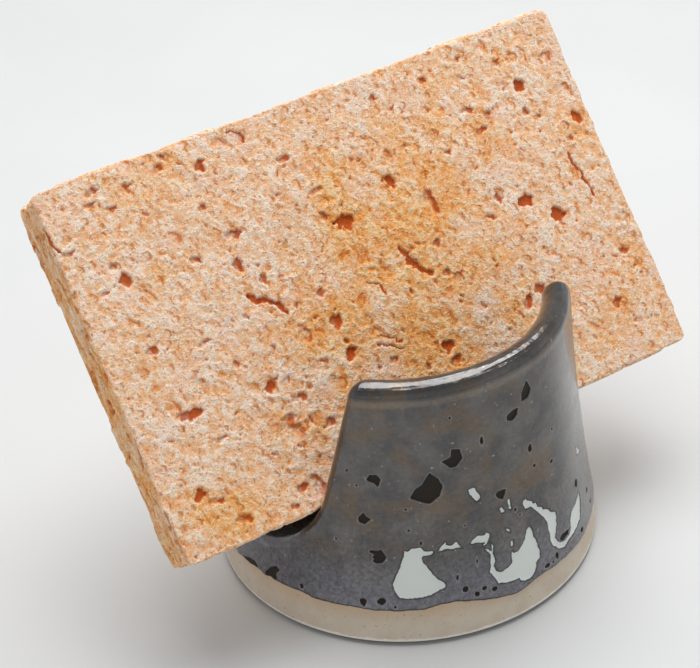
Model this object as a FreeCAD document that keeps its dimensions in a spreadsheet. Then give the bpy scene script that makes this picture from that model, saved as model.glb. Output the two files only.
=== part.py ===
"""A slotted stoneware sponge holder with its glaze coat, and the loose sponge that leans in its slots.

Frame: millimetres, +Z up, origin at the middle of the foot's underside. The slots open along X, so the
sponge's long side runs along X. Its front face looks towards -Y and its top leans back towards +Y.
"""
import FreeCAD, Part
import math
import os
import Sketcher
from FreeCAD import Vector

# Driving dimensions, in millimetres, with the angles in degrees
SIZES = (
    ("foot_diameter", 71.6, "widest diameter of the clay, just above the foot's edge"),
    ("foot_bevel_rise", 1.0, "how high the bevel trimmed under the foot lifts its edge"),
    ("foot_bevel_width", 3.8, "how far that bevel reaches in under the foot"),
    ("base_thickness", 7.0, "clay under the inside floor"),
    ("foot_wall", 7.75, "clay between the foot's widest line and the inside floor's edge"),
    ("floor_round", 6.0, "round where the inside floor turns up into the wall"),
    ("rim_height", 52.1, "clay height at the crown of the lip"),
    ("rim_diameter", 61.4, "outer diameter of the clay at the lip"),
    ("lip_thickness", 4.4, "thickness of the fully rounded lip"),
    ("wall_sweep_radius", 400.0, "radius of the shallow hollow curve of the outer wall"),
    ("slot_radius", 16.4, "round of the bottom of each slot, in the clay"),
    ("slot_floor", 13.7, "height of the bottom of each slot, in the clay"),
    ("slot_flare", 8.0, "outward lean of the slots' sides, degrees"),
    ("long_horn_flare", -6.0, "the same at the right slot's front, where the horn reaches further, degrees"),
    ("edge_round", 1.3, "soft round of the outward edges of the clay"),
    ("glaze_coat", 0.4, "thickness of the fired glaze"),
    ("glaze_line", 6.3, "height where the glaze stops above the bare foot"),
    ("sponge_length", 110.0, "sponge along the slots"),
    ("sponge_width", 70.0, "sponge from its bottom edge to its top edge"),
    ("sponge_thickness", 10.5, "sponge through its faces"),
    ("sponge_edge_round", 1.2, "soft round of the sponge's edges"),
    ("sponge_corner_round", 2.5, "round of the sponge's corners, seen on its face"),
    ("sponge_lean", 39.5, "lean of the sponge back from upright, degrees"),
    ("sponge_clearance", 0.3, "gap that the sponge keeps to the glaze"),
    ("cut_overrun", 5.0, "how far cutting shapes pass the clay"),
)

# Where the sponge seats: offsets in its own lean, "back" through its faces and "up" along its width
SEAT = (
    ("slot_centre", "=sizes.slot_floor + sizes.slot_radius"),
    ("glazed_radius", "=sizes.slot_radius - sizes.glaze_coat"),
    ("horn_round", "=sizes.edge_round + sizes.glaze_coat"),
    ("horn_height", "=sizes.rim_height + sizes.glaze_coat - horn_round"),
    ("horn_reach", "=(glazed_radius + horn_round) / cos(sizes.slot_flare)"
                   " + (horn_height - slot_centre) * tan(sizes.slot_flare)"),
    ("back_face", "=horn_reach * cos(sizes.sponge_lean) - horn_height * sin(sizes.sponge_lean)"
                  " - horn_round - sizes.sponge_clearance"),
    ("slot_back", "=-slot_centre * sin(sizes.sponge_lean)"),
    ("slot_up", "=slot_centre * cos(sizes.sponge_lean)"),
    ("back_edge", "=back_face - sizes.sponge_edge_round - slot_back"),
    ("front_edge", "=back_face - sizes.sponge_thickness + sizes.sponge_edge_round - slot_back"),
    ("edge_offset", "=max(abs(back_edge); abs(front_edge))"),
    ("edge_swing", "=glazed_radius - sizes.sponge_edge_round - sizes.sponge_clearance"),
    ("bottom_face", "=slot_up - sqrt(edge_swing ^ 2 - edge_offset ^ 2) - sizes.sponge_edge_round"),
)

# Each slot's name, the size that flares its front side, and whether it opens to the right
SLOTS = (
    ("left_slot", "slot_flare", False),
    ("right_slot", "long_horn_flare", True),
)

# How sketches number the start, end and middle of a line or an arc, and the sketch's own origin
START, END, MIDDLE = range(1, 4)
SKETCH_ORIGIN = (-1, START)
FULL_TURN = 360
POINTS_PER_EDGE = 9

doc = FreeCAD.newDocument("sponge_holder")


def make_sheet(name, rows):
    """A spreadsheet with one named cell per row."""
    sheet = doc.addObject("Spreadsheet::Sheet", name)
    for line, row in enumerate(rows, start=1):
        cell = f"B{line}"
        sheet.set(f"A{line}", row[0])
        sheet.set(cell, str(row[1]))
        sheet.setAlias(cell, row[0])
        if len(row) > 2:
            sheet.set(f"C{line}", row[2])
    doc.recompute()
    return sheet


sizes = make_sheet("sizes", SIZES)
seat = make_sheet("seat", SEAT)


def origin_plane(body, role):
    """One of a body's own origin planes, by its role."""
    return next(plane for plane in body.Origin.OriginFeatures if plane.Role == role)


def new_sketch(body, name, role):
    """An empty sketch on one of the body's origin planes."""
    sketch = body.newObject("Sketcher::SketchObject", name)
    sketch.AttachmentSupport = [(origin_plane(body, role), "")]
    sketch.MapMode = "FlatFace"
    return sketch


def join(sketch, first, first_end, second, second_end):
    """Pin an end of one sketch line to an end of another."""
    sketch.addConstraint(Sketcher.Constraint("Coincident", first, first_end, second, second_end))


def touch(sketch, first, first_end, second, second_end):
    """Join two sketch lines end to end so that one runs smoothly into the other."""
    sketch.addConstraint(Sketcher.Constraint("Tangent", first, first_end, second, second_end))


def bind(sketch, kind, place, value, expression):
    """A dimension of the sketch that follows the sheet."""
    index = sketch.addConstraint(Sketcher.Constraint(kind, *place, value))
    sketch.setExpression(f"Constraints[{index}]", expression)


def bind_point(sketch, line, end, point, across, up):
    """Place a sketch point by its two distances from the origin."""
    bind(sketch, "DistanceX", (*SKETCH_ORIGIN, line, end), point.x, across)
    bind(sketch, "DistanceY", (*SKETCH_ORIGIN, line, end), point.y, up)


def core_profile(body):
    """Half section of the thrown wall, drawn in all round by the edge round that is grown back later."""
    inset = sizes.edge_round
    foot_edge = Vector(sizes.foot_diameter / 2 - inset, inset, 0)
    floor_edge = Vector(sizes.foot_diameter / 2 - sizes.foot_wall + inset, sizes.base_thickness - inset, 0)
    axis_low = Vector(0, foot_edge.y, 0)
    axis_high = Vector(0, floor_edge.y, 0)
    lip = sizes.lip_thickness / 2 - inset
    lip_centre = Vector((sizes.rim_diameter - sizes.lip_thickness) / 2,
                        sizes.rim_height - sizes.lip_thickness / 2, 0)
    # The outer wall's centre lies outside, on circles about the foot's edge and about the lip's centre
    sweep = sizes.wall_sweep_radius + inset
    chord = lip_centre - foot_edge
    along = (chord.Length ** 2 + sweep ** 2 - (sweep + lip) ** 2) / (2 * chord.Length)
    aside = math.sqrt(sweep ** 2 - along ** 2)
    unit = Vector(chord).normalize()
    wall_centre = foot_edge + unit * along + Vector(unit.y, -unit.x, 0) * aside
    lip_out = lip_centre + (wall_centre - lip_centre).normalize() * lip
    # The inside wall leaves the lip square to its radius
    drop = floor_edge - lip_centre
    turn = math.atan2(drop.y, drop.x) - math.acos(lip / drop.Length)
    lip_in = lip_centre + Vector(math.cos(turn), math.sin(turn), 0) * lip

    def angle(centre, point):
        return math.atan2(point.y - centre.y, point.x - centre.x)

    normal = Vector(0, 0, 1)
    wall_arc = Part.ArcOfCircle(Part.Circle(wall_centre, normal, sweep),
                                angle(wall_centre, lip_out), angle(wall_centre, foot_edge) + 2 * math.pi)
    lip_arc = Part.ArcOfCircle(Part.Circle(lip_centre, normal, lip),
                               angle(lip_centre, lip_out), turn + 2 * math.pi)
    sketch = new_sketch(body, "wall_profile", "YZ_Plane")
    base, wall, lip_edge, inside, floor, axis = sketch.addGeometry([
        Part.LineSegment(axis_low, foot_edge),
        wall_arc,
        lip_arc,
        Part.LineSegment(lip_in, floor_edge),
        Part.LineSegment(floor_edge, axis_high),
        Part.LineSegment(axis_high, axis_low),
    ])
    join(sketch, base, END, wall, END)
    join(sketch, inside, END, floor, START)
    join(sketch, floor, END, axis, START)
    join(sketch, axis, END, base, START)
    touch(sketch, wall, START, lip_edge, START)
    touch(sketch, lip_edge, END, inside, START)
    bind_point(sketch, base, START, axis_low, "0", "sizes.edge_round")
    bind_point(sketch, base, END, foot_edge,
               "sizes.foot_diameter / 2 - sizes.edge_round", "sizes.edge_round")
    bind_point(sketch, floor, START, floor_edge,
               "sizes.foot_diameter / 2 - sizes.foot_wall + sizes.edge_round",
               "sizes.base_thickness - sizes.edge_round")
    bind_point(sketch, floor, END, axis_high, "0", "sizes.base_thickness - sizes.edge_round")
    bind_point(sketch, lip_edge, MIDDLE, lip_centre,
               "(sizes.rim_diameter - sizes.lip_thickness) / 2", "sizes.rim_height - sizes.lip_thickness / 2")
    bind(sketch, "Radius", (lip_edge,), lip, "sizes.lip_thickness / 2 - sizes.edge_round")
    bind(sketch, "Radius", (wall,), sweep, "sizes.wall_sweep_radius + sizes.edge_round")
    return sketch


def slot_outline(body, name, front_flare):
    """The U of one slot, seen along X, opened by the edge round that is grown back later."""
    radius = sizes.slot_radius + sizes.edge_round
    centre = Vector(0, sizes.slot_floor + sizes.slot_radius, 0)
    top = sizes.rim_height + sizes.cut_overrun
    front, back = math.radians(sizes.get(front_flare)), math.radians(sizes.slot_flare)

    def side(flare, hand):
        return Vector(hand * radius * math.cos(flare), centre.y - radius * math.sin(flare), 0)

    def mouth(flare, hand):
        return Vector(hand * (radius / math.cos(flare) + (top - centre.y) * math.tan(flare)), top, 0)

    sketch = new_sketch(body, name, "YZ_Plane")
    bottom, right, across, left = sketch.addGeometry([
        Part.ArcOfCircle(Part.Circle(centre, Vector(0, 0, 1), radius), math.pi + front, -back),
        Part.LineSegment(side(back, 1), mouth(back, 1)),
        Part.LineSegment(mouth(back, 1), mouth(front, -1)),
        Part.LineSegment(mouth(front, -1), side(front, -1)),
    ])
    join(sketch, right, END, across, START)
    join(sketch, across, END, left, START)
    touch(sketch, bottom, END, right, START)
    touch(sketch, left, END, bottom, START)
    bind_point(sketch, bottom, MIDDLE, centre, "0", "sizes.slot_floor + sizes.slot_radius")
    bind(sketch, "Radius", (bottom,), radius, "sizes.slot_radius + sizes.edge_round")
    height = "sizes.rim_height + sizes.cut_overrun"

    def reach(flare):
        return (f"((sizes.slot_radius + sizes.edge_round) / cos(sizes.{flare})"
                f" + ({height} - sizes.slot_floor - sizes.slot_radius) * tan(sizes.{flare}))")

    bind_point(sketch, right, END, mouth(back, 1), reach("slot_flare"), height)
    bind_point(sketch, left, START, mouth(front, -1), f"-{reach(front_flare)}", height)
    return sketch


def edge_names(shape, wanted):
    """Names of the shape's edges that pass a test."""
    return [f"Edge{index}" for index, edge in enumerate(shape.Edges, start=1) if wanted(edge)]


def points_along(edge):
    """A few points along an edge."""
    return edge.discretize(Number=POINTS_PER_EDGE)


def wall_core():
    """The thrown and slotted wall with sharp edges, drawn in all round by the edge round."""
    body = doc.addObject("PartDesign::Body", "wall_core")
    profile = core_profile(body)
    thrown = body.newObject("PartDesign::Revolution", "thrown_core")
    thrown.Profile = profile
    thrown.ReferenceAxis = (profile, ["V_Axis"])
    thrown.Angle = FULL_TURN
    doc.recompute()

    def floor_corner(edge):
        reach = sizes.foot_diameter / 2 - sizes.foot_wall + sizes.edge_round
        level = sizes.base_thickness - sizes.edge_round
        near = sizes.edge_round / 10
        return all(abs(math.hypot(point.x, point.y) - reach) < near and abs(point.z - level) < near
                   for point in points_along(edge))

    rounded = body.newObject("PartDesign::Fillet", "rounded_floor")
    rounded.Base = (thrown, edge_names(thrown.Shape, floor_corner))
    rounded.setExpression("Radius", "sizes.floor_round + sizes.edge_round")
    doc.recompute()

    before = rounded
    for name, front_flare, to_right in SLOTS:
        slot = body.newObject("PartDesign::Pocket", f"cut_{name}")
        slot.Profile = slot_outline(body, name, front_flare)
        slot.Type = "ThroughAll"
        slot.Reversed = to_right
        doc.recompute()
        if not slot.Shape.Volume < before.Shape.Volume:
            raise RuntimeError(f"{name} cut nothing")
        before = slot
    return body


def grown(core, name, growth):
    """The core grown all round, which rounds its outward edges by the growth."""
    form = doc.addObject("Part::Offset", name)
    form.Source = core
    form.setExpression("Value", growth)
    form.Join = "Arc"
    doc.recompute()
    return form


def trimmed_foot(clay):
    """The clay with a shallow bevel trimmed under its foot, kept inside a cone that opens upwards."""
    inside = doc.addObject("Part::Cone", "foot_bevel_cone")
    low = "(sizes.foot_diameter / 2 - 2 * sizes.foot_bevel_width)"
    height = "(sizes.rim_height + sizes.cut_overrun + sizes.foot_bevel_rise)"
    inside.setExpression("Height", height)
    inside.setExpression("Radius1", low)
    inside.setExpression("Radius2", f"{low} + {height} * sizes.foot_bevel_width / sizes.foot_bevel_rise")
    inside.setExpression("Placement.Base.z", "-sizes.foot_bevel_rise")
    body = doc.addObject("Part::Common", "stoneware_body")
    body.Base = clay
    body.Tool = inside
    doc.recompute()
    return body


def glaze_skin(clay, glazed):
    """The coat between the clay and the glazed form, down to the glaze line."""
    coat = doc.addObject("Part::Cut", "coat_all_over")
    coat.Base = glazed
    coat.Tool = clay
    below = doc.addObject("Part::Cylinder", "below_glaze_line")
    below.setExpression("Radius", "sizes.foot_diameter / 2 + sizes.cut_overrun")
    below.setExpression("Height", "sizes.glaze_line + sizes.cut_overrun")
    below.setExpression("Placement.Base.z", "-sizes.cut_overrun")
    skin = doc.addObject("Part::Cut", "gunmetal_glaze")
    skin.Base = coat
    skin.Tool = below
    doc.recompute()
    return skin


def leaning_sponge():
    """The sponge block, rounded at its corners and edges, leaning back in the slots."""
    body = doc.addObject("PartDesign::Body", "sponge")
    sketch = new_sketch(body, "sponge_face", "XZ_Plane")
    half = sizes.sponge_length / 2
    corners = (Vector(-half, 0, 0), Vector(half, 0, 0),
               Vector(half, sizes.sponge_width, 0), Vector(-half, sizes.sponge_width, 0))
    lines = sketch.addGeometry([Part.LineSegment(corners[index], corners[(index + 1) % 4])
                                for index in range(4)])
    across = ("-sizes.sponge_length / 2", "sizes.sponge_length / 2",
              "sizes.sponge_length / 2", "-sizes.sponge_length / 2")
    up = ("0", "0", "sizes.sponge_width", "sizes.sponge_width")
    for index, line in enumerate(lines):
        join(sketch, line, END, lines[(index + 1) % 4], START)
        bind_point(sketch, line, START, corners[index], across[index], up[index])
    block = body.newObject("PartDesign::Pad", "sponge_block")
    block.Profile = sketch
    block.setExpression("Length", "sizes.sponge_thickness")
    doc.recompute()

    def through_thickness(edge):
        return abs(edge.Length - sizes.sponge_thickness) < sizes.sponge_edge_round / 4

    cornered = body.newObject("PartDesign::Fillet", "sponge_corners")
    cornered.Base = (block, edge_names(block.Shape, through_thickness))
    cornered.setExpression("Radius", "sizes.sponge_corner_round")
    doc.recompute()

    def around_face(edge):
        points = points_along(edge)
        return all(abs(point.y - points[0].y) < sizes.sponge_edge_round / 4 for point in points)

    soft = body.newObject("PartDesign::Fillet", "sponge_soft_edges")
    soft.Base = (cornered, edge_names(cornered.Shape, around_face))
    soft.setExpression("Radius", "sizes.sponge_edge_round")
    body.setExpression("Placement.Rotation.Angle", "-sizes.sponge_lean")
    body.Placement.Rotation.Axis = Vector(1, 0, 0)
    body.setExpression("Placement.Base.y", "seat.back_face * cos(sizes.sponge_lean)"
                                           " + seat.bottom_face * sin(sizes.sponge_lean)")
    body.setExpression("Placement.Base.z", "seat.bottom_face * cos(sizes.sponge_lean)"
                                           " - seat.back_face * sin(sizes.sponge_lean)")
    doc.recompute()
    return body


def write_parts(parts):
    """Check the whole document, then write each sub-part under its label."""
    for item in doc.Objects:
        if "Invalid" in item.State or "Error" in item.State:
            raise RuntimeError(f"{item.Name} failed: {item.State}")
    for part in parts:
        if part.Shape.isNull() or not part.Shape.isValid():
            raise RuntimeError(f"{part.Label} has no valid shape")
    os.makedirs("parts", exist_ok=True)
    for part in parts:
        part.Shape.exportStep(f"parts/{part.Label}.step")
        box = part.Shape.BoundBox
        print(f"{part.Label}: {len(part.Shape.Solids)} solid, {part.Shape.Volume:.0f} mm3,"
              f" x {box.XMin:.2f}..{box.XMax:.2f} y {box.YMin:.2f}..{box.YMax:.2f}"
              f" z {box.ZMin:.2f}..{box.ZMax:.2f}")


core = wall_core()
clay_form = grown(core, "clay_form", "sizes.edge_round")
stoneware = trimmed_foot(clay_form)
glazed_form = grown(core, "glazed_form", "sizes.edge_round + sizes.glaze_coat")
glaze = glaze_skin(clay_form, glazed_form)
sponge = leaning_sponge()
write_parts((stoneware, glaze, sponge))
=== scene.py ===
"""Looks of the sponge holder: a glazed stoneware cup with a cellulose sponge leaning in its slots.

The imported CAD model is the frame, in metres. The shapes here are worked out in millimetres: the glaze is a
fine skin over the clay with its pits, crawled patches and wavy lower edge, and the sponge is a block with
pores and wrinkles in its surface.
"""
import math

import bpy
import numpy as np
from mathutils import Matrix, Vector
from mathutils.kdtree import KDTree


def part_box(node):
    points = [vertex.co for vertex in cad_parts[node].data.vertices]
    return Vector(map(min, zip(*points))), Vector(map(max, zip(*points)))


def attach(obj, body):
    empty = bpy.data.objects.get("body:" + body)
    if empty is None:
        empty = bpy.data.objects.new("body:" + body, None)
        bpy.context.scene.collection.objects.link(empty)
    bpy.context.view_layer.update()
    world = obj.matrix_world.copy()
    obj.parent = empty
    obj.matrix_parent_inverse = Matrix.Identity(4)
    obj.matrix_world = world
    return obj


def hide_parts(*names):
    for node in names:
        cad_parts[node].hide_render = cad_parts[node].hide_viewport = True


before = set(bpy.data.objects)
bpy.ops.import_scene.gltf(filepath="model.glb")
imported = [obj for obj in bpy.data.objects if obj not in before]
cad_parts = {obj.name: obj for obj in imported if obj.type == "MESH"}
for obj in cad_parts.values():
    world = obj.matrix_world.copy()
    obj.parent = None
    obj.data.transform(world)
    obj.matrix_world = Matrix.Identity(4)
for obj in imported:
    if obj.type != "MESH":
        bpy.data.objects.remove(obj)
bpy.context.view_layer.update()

MM = 0.001
NEARLY_ZERO = 1e-9
FAR = 1e3

# The cup's sizes, in millimetres, as the CAD source names them
FOOT_RADIUS = 35.8
FOOT_WALL = 7.75
BASE_THICKNESS = 7.0
FLOOR_ROUND = 6.0
RIM_HEIGHT = 52.1
RIM_RADIUS = 30.7
LIP_THICKNESS = 4.4
WALL_SWEEP = 400.0
SLOT_RADIUS = 16.4
SLOT_FLOOR = 13.7
SLOT_FLARE = math.radians(8.0)
LONG_HORN_FLARE = math.radians(-6.0)
EDGE_ROUND = 1.3
GLAZE_COAT = 0.4

# The sponge's sizes, in millimetres
SPONGE_SIZE = np.array((110.0, 70.0, 10.5))
SPONGE_EDGE = 1.2
SPONGE_CORNER = 2.5
SPONGE_LEAN = math.radians(39.5)

# How the sponge sits in the photo: turned in its own plane, moved along and up its face
SPONGE_TILT = math.radians(1.2)
SPONGE_SHIFT = 0.54
SPONGE_LIFT = -0.3

# Spacing of the points of the fine meshes
SPONGE_GRID = 0.24
SKIN_GRID = 0.27


def smooth(low, high, value):
    """0 below low, 1 above high, and an even S between them; low may be the larger."""
    share = np.clip((value - low) / (high - low), 0, 1)
    return share * share * (3 - 2 * share)


def lengths(rows):
    """The length of each row."""
    return np.linalg.norm(rows, axis=1)


def units(rows):
    """The rows drawn out or in to a length of 1."""
    return rows / np.maximum(lengths(rows), NEARLY_ZERO)[:, None]


def lattice(cells, seed):
    """A repeatable number from 0 to 1 for each whole-numbered place; the large factors only mix its bits."""
    x, y, z = (cells[:, axis].astype(np.int64).astype(np.uint32) for axis in range(3))
    mixed = x * np.uint32(374761393) + y * np.uint32(668265263) + z * np.uint32(2147483629)
    mixed = mixed + np.uint32(seed * 40503 + 7)
    mixed = (mixed ^ (mixed >> np.uint32(13))) * np.uint32(1274126177)
    mixed = (mixed ^ (mixed >> np.uint32(16))) * np.uint32(2246822519)
    return ((mixed ^ (mixed >> np.uint32(15))) & np.uint32(0xFFFFFF)) / 0xFFFFFF


# Noise is read in turned axes, so that its lattice doesn't line up with a face, and each seed moves it on
TURNED = np.array(Matrix.Rotation(0.7, 3, Vector((0.4, 0.7, 0.59))))
NOISE_MOVE = 17.3
SPOT_MOVE = 11.7


def noise(points, size, seed):
    """Smooth noise from 0 to 1, with bumps about size apart."""
    scaled = points @ TURNED / size + seed * NOISE_MOVE
    low = np.floor(scaled).astype(np.int64)
    part = scaled - low
    part = part ** 3 * (part * (part * 6 - 15) + 10)
    total = np.zeros(len(points))
    for corner in np.ndindex(2, 2, 2):
        weight = np.prod(np.where(corner, part, 1 - part), axis=1)
        total += weight * lattice(low + corner, seed)
    return total


def fractal(points, size, seed, octaves=3):
    """Noise with finer noise on it, from about 0 to 1."""
    total, weight = np.zeros(len(points)), 0
    for octave in range(octaves):
        total += noise(points, size / 2 ** octave, seed + octave) / 2 ** octave
        weight += 1 / 2 ** octave
    return total / weight


def jitter(points, size, seeds, reach):
    """A noise for each seed, shifted to lie about 0 and spread over a reach."""
    return (np.stack([noise(points, size, seed) for seed in seeds], axis=1) - 0.5) * reach


def scattered(points, size, seed):
    """Distances to the nearest two of spots scattered about size apart, and the nearest spot's number."""
    scaled = points @ TURNED / size + seed * SPOT_MOVE
    cell = np.floor(scaled).astype(np.int64)
    nearest, second, token = np.full(len(points), FAR), np.full(len(points), FAR), np.zeros(len(points))
    for step in np.ndindex(3, 3, 3):
        there = cell + np.array(step) - 1
        spot = np.stack([lattice(there, seed + axis) for axis in (1, 2, 3)], axis=1)
        away = lengths(there + spot - scaled)
        closer = away < nearest
        second = np.where(closer, nearest, np.minimum(second, away))
        nearest = np.minimum(nearest, away)
        token[closer] = lattice(there[closer], seed + 4)
    return nearest * size, second * size, token


def new_object(name, points, faces):
    """A smooth mesh object from points in millimetres and four-cornered faces."""
    mesh = bpy.data.meshes.new(name)
    mesh.vertices.add(len(points))
    mesh.vertices.foreach_set("co", (points * MM).astype(np.float32).ravel())
    mesh.loops.add(faces.size)
    mesh.loops.foreach_set("vertex_index", faces.astype(np.int32).ravel())
    mesh.polygons.add(len(faces))
    mesh.polygons.foreach_set("loop_start", np.arange(0, faces.size, 4, dtype=np.int32))
    mesh.update(calc_edges=True)
    mesh.shade_smooth()
    made = bpy.data.objects.new(name, mesh)
    bpy.context.scene.collection.objects.link(made)
    return made


def set_values(piece, **fields):
    """Store a number per point on a mesh, for its material to read."""
    for name, values in fields.items():
        store = piece.data.attributes.new(name, "FLOAT", "POINT")
        store.data.foreach_set("value", values.astype(np.float32))


# The cup's core is the clay drawn in by the edge round; its rounded growth is the clay and then the glaze

def wall_lines():
    """The core's half section as exact lines and arcs, in radius and height."""
    lip = LIP_THICKNESS / 2 - EDGE_ROUND
    lip_centre = np.array((RIM_RADIUS - LIP_THICKNESS / 2, RIM_HEIGHT - LIP_THICKNESS / 2))
    foot_edge = np.array((FOOT_RADIUS - EDGE_ROUND, EDGE_ROUND))
    floor_edge = np.array((FOOT_RADIUS - FOOT_WALL + EDGE_ROUND, BASE_THICKNESS - EDGE_ROUND))
    sweep = WALL_SWEEP + EDGE_ROUND
    chord = lip_centre - foot_edge
    length = np.hypot(*chord)
    along = (length ** 2 + sweep ** 2 - (sweep + lip) ** 2) / (2 * length)
    unit = chord / length
    aside = math.sqrt(sweep ** 2 - along ** 2)
    wall_centre = foot_edge + unit * along + np.array((unit[1], -unit[0])) * aside
    out = wall_centre - lip_centre
    lip_out = lip_centre + out / np.hypot(*out) * lip
    drop = floor_edge - lip_centre
    turn = math.atan2(drop[1], drop[0]) - math.acos(lip / np.hypot(*drop))
    lip_in = lip_centre + lip * np.array((math.cos(turn), math.sin(turn)))
    down = (floor_edge - lip_in) / np.hypot(*(floor_edge - lip_in))
    inward = np.array((down[1], -down[0]))
    bend = FLOOR_ROUND + EDGE_ROUND
    bend_centre = np.array((floor_edge[0] + bend * (1 - inward[1]) / inward[0], floor_edge[1] + bend))
    bend_high = bend_centre - bend * inward
    bend_low = bend_centre - np.array((0, bend))
    lines = ((np.array((0, EDGE_ROUND)), foot_edge), (lip_in, bend_high),
             (bend_low, np.array((0, floor_edge[1]))))
    arcs = ((wall_centre, sweep, foot_edge, lip_out), (lip_centre, lip, lip_out, lip_in),
            (bend_centre, bend, bend_high, bend_low))
    return lines, arcs


LINES, ARCS = wall_lines()
WALL_ARC, LIP_ARC, BEND_ARC = ARCS
LIP_OUT, LIP_IN = LIP_ARC[2], LIP_ARC[3]
SLOT_CENTRE = SLOT_FLOOR + SLOT_RADIUS
CORE_SLOT = SLOT_RADIUS + EDGE_ROUND
SLACK = 1e-6
NEARLY_HALF_TURN = 0.2

# Steps along a slot's sharp edge: its round bottom, its side and the lip
BOTTOM_STEPS = 500
SIDE_STEPS = 800
LIP_STEPS = 120


def nearest_on_line(points, start, end):
    """The nearest points of a straight line."""
    along = end - start
    share = np.clip((points - start) @ along / (along @ along), 0, 1)
    return start + share[:, None] * along


def nearest_on_arc(points, centre, radius, start, end):
    """The nearest points of an arc; one of about a half turn goes over the top."""
    aimed = units(points - centre)
    middle = (start + end) / 2 - centre
    first = start - centre
    if np.hypot(*middle) < radius * NEARLY_HALF_TURN:
        middle = np.array((0.0, 1.0))
    spread = (first @ middle) / np.hypot(*first) / np.hypot(*middle)
    within = (aimed @ middle) / np.hypot(*middle) >= spread
    to_start = lengths(points - start) < lengths(points - end)
    ends = np.where(to_start[:, None], start, end)
    return np.where(within[:, None], centre + aimed * radius, ends)


def keep_closer(best, found, points):
    """Put the found points in the place of the best ones where they are closer."""
    closer = lengths(found - points) < lengths(best - points)
    best[closer] = found[closer]


def nearest_on_section(points):
    """The nearest points of the half section."""
    best = np.full((len(points), 2), FAR)
    for find, pieces in ((nearest_on_line, LINES), (nearest_on_arc, ARCS)):
        for piece in pieces:
            keep_closer(best, find(points, *piece), points)
    return best


def outer_radius(height):
    """The core's outer radius at a height."""
    centre, sweep = WALL_ARC[:2]
    wall = centre[0] - np.sqrt(sweep ** 2 - (height - centre[1]) ** 2)
    lip_centre, lip = LIP_ARC[:2]
    crown = lip_centre[0] + np.sqrt(np.maximum(lip ** 2 - (height - lip_centre[1]) ** 2, 0))
    return np.where(height < LIP_OUT[1], wall, crown)


def inner_radius(height):
    """The core's inner radius at a height."""
    top, low = LINES[1]
    wall = top[0] + (low[0] - top[0]) * (height - top[1]) / (low[1] - top[1])
    centre, bend = BEND_ARC[:2]
    floor = centre[0] + np.sqrt(np.maximum(bend ** 2 - (height - centre[1]) ** 2, 0))
    lip_centre, lip = LIP_ARC[:2]
    crown = lip_centre[0] - np.sqrt(np.maximum(lip ** 2 - (height - lip_centre[1]) ** 2, 0))
    return np.where(height > LIP_IN[1], crown, np.where(height < low[1], floor, wall))


def slot_reach(height, flare):
    """Half the core slot's width at a height, 0 below its floor."""
    up = height - SLOT_CENTRE
    sides = CORE_SLOT / math.cos(flare) + up * math.tan(flare)
    bottom = np.sqrt(np.maximum(CORE_SLOT ** 2 - up ** 2, 0))
    return np.where(up > -CORE_SLOT * math.sin(flare), sides, bottom)


def nearest_on_slot(points, flare):
    """The nearest points of the slot's outline, in distance from the middle and height."""
    centre = np.array((0, SLOT_CENTRE))
    side = centre + CORE_SLOT * np.array((math.cos(flare), -math.sin(flare)))
    mouth = side + 2 * RIM_HEIGHT * np.array((math.sin(flare), math.cos(flare)))
    on_side = nearest_on_line(points, side, mouth)
    away = points - centre
    on_round = centre + units(away) * CORE_SLOT
    low = np.arctan2(away[:, 1], away[:, 0]) < -flare
    return np.where(low[:, None], on_round, on_side)


def slot_edge(flare):
    """The sharp edge of one quarter of the slots: up the outside, over the lip and down the inside."""
    turn = np.linspace(-math.pi / 2, -flare, BOTTOM_STEPS)
    tangent = SLOT_CENTRE - CORE_SLOT * math.sin(flare)
    low = SLOT_CENTRE + CORE_SLOT * np.sin(turn)

    def run(top):
        return np.concatenate((low, np.linspace(tangent, top, SIDE_STEPS)[1:]))

    centre, lip = LIP_ARC[:2]
    first = math.atan2(*(LIP_OUT - centre)[::-1])
    last = math.atan2(*(LIP_IN - centre)[::-1]) % (2 * math.pi)
    over = np.linspace(first, last, LIP_STEPS)[1:-1]
    up, down = run(LIP_OUT[1]), run(LIP_IN[1])[::-1]
    radius = np.concatenate((outer_radius(up), centre[0] + lip * np.cos(over), inner_radius(down)))
    height = np.concatenate((up, centre[1] + lip * np.sin(over), down))
    aside = slot_reach(height, flare)
    return np.stack((np.sqrt(radius ** 2 - aside ** 2), aside, height), axis=1)


def nearest_on_edge(points, flare):
    """The nearest points of the slot's sharp edge."""
    edge = slot_edge(flare)
    tree = KDTree(len(edge))
    for index, place in enumerate(edge):
        tree.insert(place, index)
    tree.balance()
    index = np.array([tree.find(place)[1] for place in points])
    best = edge[index]
    for step in (-1, 0):
        start = np.clip(index + step, 0, len(edge) - 2)
        along = edge[start + 1] - edge[start]
        share = np.sum((points - edge[start]) * along, axis=1) / np.sum(along * along, axis=1)
        keep_closer(best, edge[start] + np.clip(share, 0, 1)[:, None] * along, points)
    return best


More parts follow.
